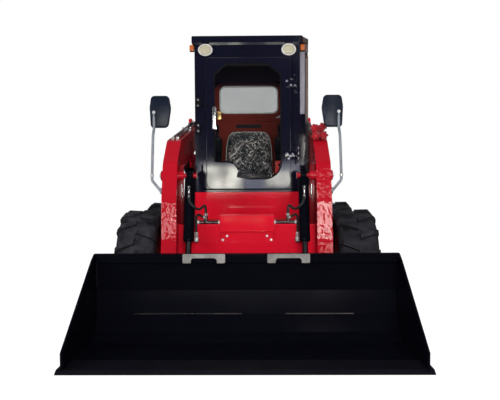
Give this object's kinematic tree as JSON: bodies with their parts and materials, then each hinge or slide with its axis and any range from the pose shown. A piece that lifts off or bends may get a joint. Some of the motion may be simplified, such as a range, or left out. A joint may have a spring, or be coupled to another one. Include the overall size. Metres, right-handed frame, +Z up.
{
  "type": "skid steer loader",
  "caption": "Compact wheeled skid steer loader with an enclosed cab, radial lift arms over the tyres, tilt and lift cylinders and a wide flat-floored bucket.",
  "frame": {"origin": "on the floor, under the middle of the machine's outer box", "axes": "+Y to the rear, +X to the side of the cab door's hinges, +Z up"},
  "size_m": [2, 3.43, 2.08],
  "materials": {
    "red_paint": "glossy red enamel on welded steel",
    "dark_red_paint": "red enamel in shade, slightly dusty",
    "black_paint": "glossy black enamel",
    "bucket_black": "glossy black enamel over pressed plate",
    "worn_steel": "dark steel with thin paint",
    "cast_block": "rough casting",
    "floor_rubber": "ribbed mat",
    "cab_glass": "clear pane",
    "seat_vinyl": "black seat cover under clear film",
    "console_plastic": "moulded black plastic",
    "mirror_housing": "smooth black plastic",
    "lamp_lens": "ribbed lens",
    "amber_lens": "ribbed amber lens",
    "bright_steel": "plated steel",
    "coupler_caps": "red caps on a steel block",
    "hose_rubber": "smooth black hose cover",
    "signal_orange": "smooth orange plastic",
    "tail_lens": "ribbed red lens",
    "bare_frames": "pale bare metal",
    "tyre_rubber": "bar-lugged rubber",
    "rim_paint": "red enamel"
  },
  "bodies": {
    "chassis": {"chassis": "dark_red_paint", "chain_cases": "dark_red_paint", "towers": "red_paint", "corner_posts": "dark_red_paint", "rear_bumper": "black_paint", "axles": "worn_steel", "engine": "cast_block", "cab_side_left": "black_paint", "cab_side_right": "black_paint", "cab_rear_wall": "black_paint", "cab_roof": "black_paint", "cab_front_frame": "black_paint", "cab_floor": "floor_rubber", "front_panel": "red_paint", "side_glass": "cab_glass", "rear_glass": "cab_glass", "seat": "seat_vinyl", "seat_base": "black_paint", "consoles": "console_plastic", "side_box": "signal_orange", "headlamps": "lamp_lens", "marker_lamps": "amber_lens", "tail_lamps": "tail_lens", "window_frame": "bare_frames"},
    "cab_door": {"door": "black_paint", "door_glass": "cab_glass", "door_fittings": "bright_steel"},
    "engine_door": {"rear_door": "red_paint"},
    "engine_hood": {"hood": "red_paint"},
    "lift_arms": {"arm_right": "red_paint", "arm_left": "red_paint", "cross_member": "red_paint", "arm_tubes": "bright_steel", "front_pipes": "bright_steel", "front_hoses": "hose_rubber", "coupler_block": "coupler_caps", "mirror_stems": "bright_steel", "mirror_heads": "mirror_housing"},
    "bucket": {"bucket_shell": "bucket_black", "cutting_edge": "worn_steel", "bucket_band": "bucket_black", "step_frames": "bare_frames", "quick_attach": "black_paint"},
    "lift_cylinders": {"lift_barrels": "bucket_black"},
    "lift_pistons": {"lift_rods": "bright_steel"},
    "tilt_cylinders": {"tilt_barrels": "bucket_black"},
    "tilt_pistons": {"tilt_rods": "bright_steel"},
    "wheel_front_left": {"tyre_front_left": "tyre_rubber", "rim_front_left": "rim_paint"},
    "wheel_front_right": {"tyre_front_right": "tyre_rubber", "rim_front_right": "rim_paint"},
    "wheel_rear_left": {"tyre_rear_left": "tyre_rubber", "rim_rear_left": "rim_paint"},
    "wheel_rear_right": {"tyre_rear_right": "tyre_rubber", "rim_rear_right": "rim_paint"}
  },
  "joints": [
    {"name": "lift", "type": "hinge", "parent": "chassis", "child": "lift_arms", "pos_m": [0, 1.235, 1.48], "axis": [-1, 0, 0], "range_deg": [0, 68]},
    {"name": "tilt", "type": "hinge", "parent": "lift_arms", "child": "bucket", "pos_m": [0, -0.815, 0.235], "axis": [1, 0, 0], "range_deg": [-25, 108]},
    {"name": "door_hinge", "type": "hinge", "parent": "chassis", "child": "cab_door", "pos_m": [0.372, -0.233, 1.4], "axis": [0, 0, 1], "range_deg": [0, 80]},
    {"name": "engine_door_hinge", "type": "hinge", "parent": "chassis", "child": "engine_door", "pos_m": [-0.432, 1.637, 0.8], "axis": [0, 0, 1], "range_deg": [0, 100]},
    {"name": "hood_hinge", "type": "hinge", "parent": "chassis", "child": "engine_hood", "pos_m": [0, 0.776, 1.352], "axis": [1, 0, 0], "range_deg": [0, 50]},
    {"name": "lift_barrel_turn", "type": "hinge", "parent": "chassis", "child": "lift_cylinders", "pos_m": [0, 1.315, 0.79], "axis": [-1, 0, 0], "range_deg": [0, 44]},
    {"name": "lift_rod_slide", "type": "slide", "parent": "lift_cylinders", "child": "lift_pistons", "axis": [0, -0.9478, 0.319], "range_m": [0, 0.54]},
    {"name": "tilt_barrel_turn", "type": "hinge", "parent": "lift_arms", "child": "tilt_cylinders", "pos_m": [0, -0.675, 1.035], "axis": [1, 0, 0], "range_deg": [-4.6, 1.1]},
    {"name": "tilt_rod_slide", "type": "slide", "parent": "tilt_cylinders", "child": "tilt_pistons", "axis": [0, -0.2856, -0.9584], "range_m": [-0.063, 0.2705]},
    {"name": "wheel_front_left_spin", "type": "hinge", "parent": "chassis", "child": "wheel_front_left", "pos_m": [-0.7925, -0.285, 0.38624], "axis": [-1, 0, 0], "continuous": true},
    {"name": "wheel_front_right_spin", "type": "hinge", "parent": "chassis", "child": "wheel_front_right", "pos_m": [0.7925, -0.285, 0.38624], "axis": [-1, 0, 0], "continuous": true},
    {"name": "wheel_rear_left_spin", "type": "hinge", "parent": "chassis", "child": "wheel_rear_left", "pos_m": [-0.7925, 0.8, 0.38624], "axis": [-1, 0, 0], "continuous": true},
    {"name": "wheel_rear_right_spin", "type": "hinge", "parent": "chassis", "child": "wheel_rear_right", "pos_m": [0.7925, 0.8, 0.38624], "axis": [-1, 0, 0], "continuous": true}
  ],
  "couplings": [
    {"joint": "lift_barrel_turn", "follows": "lift", "ratio": 0.64618},
    {"joint": "lift_rod_slide", "follows": "lift", "m_per_rad": 0.45483},
    {"joint": "tilt_barrel_turn", "follows": "tilt", "ratio": -0.042},
    {"joint": "tilt_rod_slide", "follows": "tilt", "m_per_rad": 0.14324}
  ]
}
